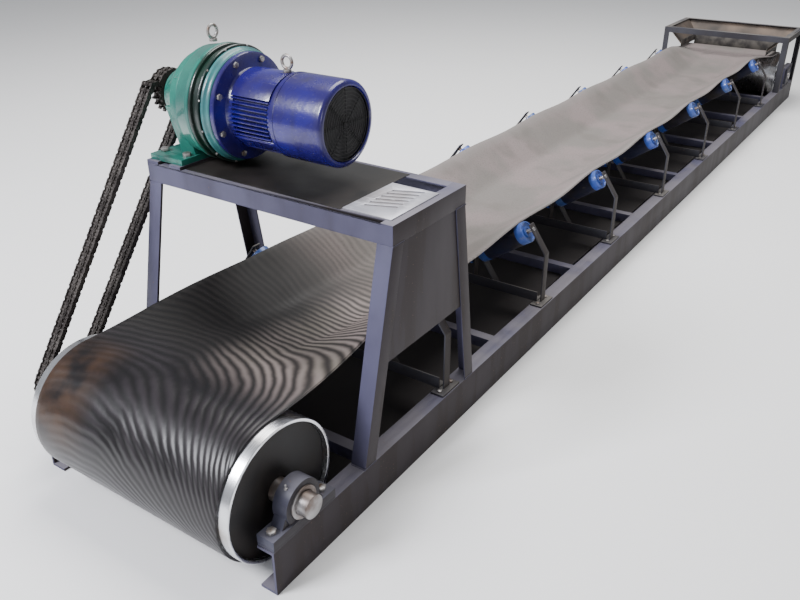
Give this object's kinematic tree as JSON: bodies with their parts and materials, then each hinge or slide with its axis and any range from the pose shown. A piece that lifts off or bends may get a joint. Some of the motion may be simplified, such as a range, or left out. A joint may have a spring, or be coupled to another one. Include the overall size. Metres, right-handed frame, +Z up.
{
  "type": "belt conveyor section",
  "caption": "Troughed rubber belt conveyor on two floor channels, with a stand-mounted geared motor driving the head drum by chain and a loading hopper at the tail.",
  "frame": {"origin": "on the floor at the middle of the four floor anchor holes, under the conveyor's centreline", "axes": "+Y runs from the head (drive end) to the tail (hopper end), +Z is up, +X is to the right looking from head to tail"},
  "size_m": [1.325, 8.0023, 1.5684],
  "materials": {
    "frame_paint": "worn blue-grey paint with brown grime on the shaded faces",
    "bearing_cast_iron": "cast iron with blue-grey paint",
    "bare_plate": "bare sheet, satin and scuffed",
    "reducer_green": "gloss green machine enamel",
    "ring_dark_green": "gloss dark green machine enamel",
    "adapter_teal": "gloss teal machine enamel",
    "motor_blue": "gloss deep blue machine enamel",
    "laminations": "stacked steel laminations",
    "zinc_steel": "zinc-plated steel",
    "chain_steel": "oily dark steel with worn edges",
    "idler_paint": "dark grey paint, dusty",
    "machined_steel": "turned steel",
    "hopper_plate": "scuffed plate with dust",
    "belt_rubber": "black rubber, polished at the head and dusty along the trough",
    "drum_steel": "machined steel, bright at the rims",
    "drum_disc_paint": "near-black paint",
    "bearing_steel": "ground bearing steel",
    "fan_plastic": "black moulded plastic",
    "roller_blue": "blue enamel, worn and dusty"
  },
  "bodies": {
    "frame": {"channel_right": "frame_paint", "channel_left": "frame_paint", "cross_ties": "frame_paint", "head_bearing_housings": "bearing_cast_iron", "stand_legs": "frame_paint", "stand_top_rails": "frame_paint", "stand_side_panel": "frame_paint", "stand_slotted_plate": "bare_plate", "reducer_housing": "reducer_green", "reducer_ring_housing": "ring_dark_green", "motor_adapter_flange": "adapter_teal", "motor_housing": "motor_blue", "motor_stator": "laminations", "motor_fan_cowl": "motor_blue", "motor_terminal_box": "motor_blue", "eye_bolts": "zinc_steel", "fasteners": "zinc_steel", "drive_chain": "chain_steel", "idler_frames": "idler_paint", "roller_spindles": "machined_steel", "return_roller_brackets": "idler_paint", "take_up_frames": "frame_paint", "hopper_plates": "hopper_plate", "hopper_frame": "frame_paint", "conveyor_belt": "belt_rubber"},
    "head_drum": {"head_drum_shell": "drum_steel", "head_drum_discs": "drum_disc_paint", "head_shaft": "machined_steel", "head_bearing_inner_rings": "bearing_steel", "driven_sprocket": "chain_steel"},
    "reducer_shaft": {"reducer_output_shaft": "machined_steel", "drive_sprocket": "chain_steel"},
    "motor_rotor": {"motor_rotor": "machined_steel", "motor_fan": "fan_plastic"},
    "take_up": {"tail_bearing_blocks": "bearing_cast_iron"},
    "tail_drum": {"tail_drum": "drum_steel", "tail_shaft": "machined_steel"},
    "idler_1_centre": {"idler_1_centre": "roller_blue"},
    "idler_1_right": {"idler_1_right": "roller_blue"},
    "idler_1_left": {"idler_1_left": "roller_blue"},
    "idler_2_centre": {"idler_2_centre": "roller_blue"},
    "idler_2_right": {"idler_2_right": "roller_blue"},
    "idler_2_left": {"idler_2_left": "roller_blue"},
    "idler_3_centre": {"idler_3_centre": "roller_blue"},
    "idler_3_right": {"idler_3_right": "roller_blue"},
    "idler_3_left": {"idler_3_left": "roller_blue"},
    "idler_4_centre": {"idler_4_centre": "roller_blue"},
    "idler_4_right": {"idler_4_right": "roller_blue"},
    "idler_4_left": {"idler_4_left": "roller_blue"},
    "idler_5_centre": {"idler_5_centre": "roller_blue"},
    "idler_5_right": {"idler_5_right": "roller_blue"},
    "idler_5_left": {"idler_5_left": "roller_blue"},
    "idler_6_centre": {"idler_6_centre": "roller_blue"},
    "idler_6_right": {"idler_6_right": "roller_blue"},
    "idler_6_left": {"idler_6_left": "roller_blue"},
    "idler_7_centre": {"idler_7_centre": "roller_blue"},
    "idler_7_right": {"idler_7_right": "roller_blue"},
    "idler_7_left": {"idler_7_left": "roller_blue"},
    "return_roller_1": {"return_roller_1": "roller_blue"},
    "return_roller_2": {"return_roller_2": "roller_blue"}
  },
  "joints": [
    {"name": "head_drum_spin", "type": "hinge", "parent": "frame", "child": "head_drum", "pos_m": [0, -3.792, 0.275], "axis": [1, 0, 0], "continuous": true},
    {"name": "reducer_shaft_spin", "type": "hinge", "parent": "frame", "child": "reducer_shaft", "pos_m": [-0.59, -3.06, 1.28145], "axis": [1, 0, 0], "continuous": true},
    {"name": "motor_rotor_spin", "type": "hinge", "parent": "frame", "child": "motor_rotor", "pos_m": [-0.215, -3.06, 1.28145], "axis": [1, 0, 0], "continuous": true},
    {"name": "take_up_slide", "type": "slide", "parent": "frame", "child": "take_up", "axis": [0, 1, 0], "range_m": [-0.04, 0]},
    {"name": "tail_drum_spin", "type": "hinge", "parent": "take_up", "child": "tail_drum", "pos_m": [0, 3.65, 0.2753], "axis": [1, 0, 0], "continuous": true},
    {"name": "idler_1_centre_spin", "type": "hinge", "parent": "frame", "child": "idler_1_centre", "pos_m": [0, -2.86, 0.3457], "axis": [1, 0, 0], "continuous": true},
    {"name": "idler_1_right_spin", "type": "hinge", "parent": "frame", "child": "idler_1_right", "pos_m": [0.32921, -2.86, 0.44869], "axis": [0.8192, 0, 0.5736], "continuous": true},
    {"name": "idler_1_left_spin", "type": "hinge", "parent": "frame", "child": "idler_1_left", "pos_m": [-0.32921, -2.86, 0.44869], "axis": [0.8192, 0, -0.5736], "continuous": true},
    {"name": "idler_2_centre_spin", "type": "hinge", "parent": "frame", "child": "idler_2_centre", "pos_m": [0, -1.94, 0.3457], "axis": [1, 0, 0], "continuous": true},
    {"name": "idler_2_right_spin", "type": "hinge", "parent": "frame", "child": "idler_2_right", "pos_m": [0.32921, -1.94, 0.44869], "axis": [0.8192, 0, 0.5736], "continuous": true},
    {"name": "idler_2_left_spin", "type": "hinge", "parent": "frame", "child": "idler_2_left", "pos_m": [-0.32921, -1.94, 0.44869], "axis": [0.8192, 0, -0.5736], "continuous": true},
    {"name": "idler_3_centre_spin", "type": "hinge", "parent": "frame", "child": "idler_3_centre", "pos_m": [0, -1.02, 0.3457], "axis": [1, 0, 0], "continuous": true},
    {"name": "idler_3_right_spin", "type": "hinge", "parent": "frame", "child": "idler_3_right", "pos_m": [0.32921, -1.02, 0.44869], "axis": [0.8192, 0, 0.5736], "continuous": true},
    {"name": "idler_3_left_spin", "type": "hinge", "parent": "frame", "child": "idler_3_left", "pos_m": [-0.32921, -1.02, 0.44869], "axis": [0.8192, 0, -0.5736], "continuous": true},
    {"name": "idler_4_centre_spin", "type": "hinge", "parent": "frame", "child": "idler_4_centre", "pos_m": [0, -0.1, 0.3457], "axis": [1, 0, 0], "continuous": true},
    {"name": "idler_4_right_spin", "type": "hinge", "parent": "frame", "child": "idler_4_right", "pos_m": [0.32921, -0.1, 0.44869], "axis": [0.8192, 0, 0.5736], "continuous": true},
    {"name": "idler_4_left_spin", "type": "hinge", "parent": "frame", "child": "idler_4_left", "pos_m": [-0.32921, -0.1, 0.44869], "axis": [0.8192, 0, -0.5736], "continuous": true},
    {"name": "idler_5_centre_spin", "type": "hinge", "parent": "frame", "child": "idler_5_centre", "pos_m": [0, 0.82, 0.3457], "axis": [1, 0, 0], "continuous": true},
    {"name": "idler_5_right_spin", "type": "hinge", "parent": "frame", "child": "idler_5_right", "pos_m": [0.32921, 0.82, 0.44869], "axis": [0.8192, 0, 0.5736], "continuous": true},
    {"name": "idler_5_left_spin", "type": "hinge", "parent": "frame", "child": "idler_5_left", "pos_m": [-0.32921, 0.82, 0.44869], "axis": [0.8192, 0, -0.5736], "continuous": true},
    {"name": "idler_6_centre_spin", "type": "hinge", "parent": "frame", "child": "idler_6_centre", "pos_m": [0, 1.74, 0.3457], "axis": [1, 0, 0], "continuous": true},
    {"name": "idler_6_right_spin", "type": "hinge", "parent": "frame", "child": "idler_6_right", "pos_m": [0.32921, 1.74, 0.44869], "axis": [0.8192, 0, 0.5736], "continuous": true},
    {"name": "idler_6_left_spin", "type": "hinge", "parent": "frame", "child": "idler_6_left", "pos_m": [-0.32921, 1.74, 0.44869], "axis": [0.8192, 0, -0.5736], "continuous": true},
    {"name": "idler_7_centre_spin", "type": "hinge", "parent": "frame", "child": "idler_7_centre", "pos_m": [0, 2.66, 0.3457], "axis": [1, 0, 0], "continuous": true},
    {"name": "idler_7_right_spin", "type": "hinge", "parent": "frame", "child": "idler_7_right", "pos_m": [0.32921, 2.66, 0.44869], "axis": [0.8192, 0, 0.5736], "continuous": true},
    {"name": "idler_7_left_spin", "type": "hinge", "parent": "frame", "child": "idler_7_left", "pos_m": [-0.32921, 2.66, 0.44869], "axis": [0.8192, 0, -0.5736], "continuous": true},
    {"name": "return_roller_1_spin", "type": "hinge", "parent": "frame", "child": "return_roller_1", "pos_m": [0, -1.4, 0.062], "axis": [1, 0, 0], "continuous": true},
    {"name": "return_roller_2_spin", "type": "hinge", "parent": "frame", "child": "return_roller_2", "pos_m": [0, 1.4, 0.062], "axis": [1, 0, 0], "continuous": true}
  ],
  "couplings": [
    {"joint": "reducer_shaft_spin", "follows": "head_drum_spin", "ratio": 1.2},
    {"joint": "motor_rotor_spin", "follows": "head_drum_spin", "ratio": -34.8},
    {"joint": "tail_drum_spin", "follows": "head_drum_spin", "ratio": 1.2439},
    {"joint": "idler_1_centre_spin", "follows": "head_drum_spin", "ratio": 4.7222},
    {"joint": "idler_1_right_spin", "follows": "head_drum_spin", "ratio": 4.7222},
    {"joint": "idler_1_left_spin", "follows": "head_drum_spin", "ratio": 4.7222},
    {"joint": "idler_2_centre_spin", "follows": "head_drum_spin", "ratio": 4.7222},
    {"joint": "idler_2_right_spin", "follows": "head_drum_spin", "ratio": 4.7222},
    {"joint": "idler_2_left_spin", "follows": "head_drum_spin", "ratio": 4.7222},
    {"joint": "idler_3_centre_spin", "follows": "head_drum_spin", "ratio": 4.7222},
    {"joint": "idler_3_right_spin", "follows": "head_drum_spin", "ratio": 4.7222},
    {"joint": "idler_3_left_spin", "follows": "head_drum_spin", "ratio": 4.7222},
    {"joint": "idler_4_centre_spin", "follows": "head_drum_spin", "ratio": 4.7222},
    {"joint": "idler_4_right_spin", "follows": "head_drum_spin", "ratio": 4.7222},
    {"joint": "idler_4_left_spin", "follows": "head_drum_spin", "ratio": 4.7222},
    {"joint": "idler_5_centre_spin", "follows": "head_drum_spin", "ratio": 4.7222},
    {"joint": "idler_5_right_spin", "follows": "head_drum_spin", "ratio": 4.7222},
    {"joint": "idler_5_left_spin", "follows": "head_drum_spin", "ratio": 4.7222},
    {"joint": "idler_6_centre_spin", "follows": "head_drum_spin", "ratio": 4.7222},
    {"joint": "idler_6_right_spin", "follows": "head_drum_spin", "ratio": 4.7222},
    {"joint": "idler_6_left_spin", "follows": "head_drum_spin", "ratio": 4.7222},
    {"joint": "idler_7_centre_spin", "follows": "head_drum_spin", "ratio": 4.7222},
    {"joint": "idler_7_right_spin", "follows": "head_drum_spin", "ratio": 4.7222},
    {"joint": "idler_7_left_spin", "follows": "head_drum_spin", "ratio": 4.7222},
    {"joint": "return_roller_1_spin", "follows": "head_drum_spin", "ratio": -6.7105},
    {"joint": "return_roller_2_spin", "follows": "head_drum_spin", "ratio": -6.7105}
  ]
}
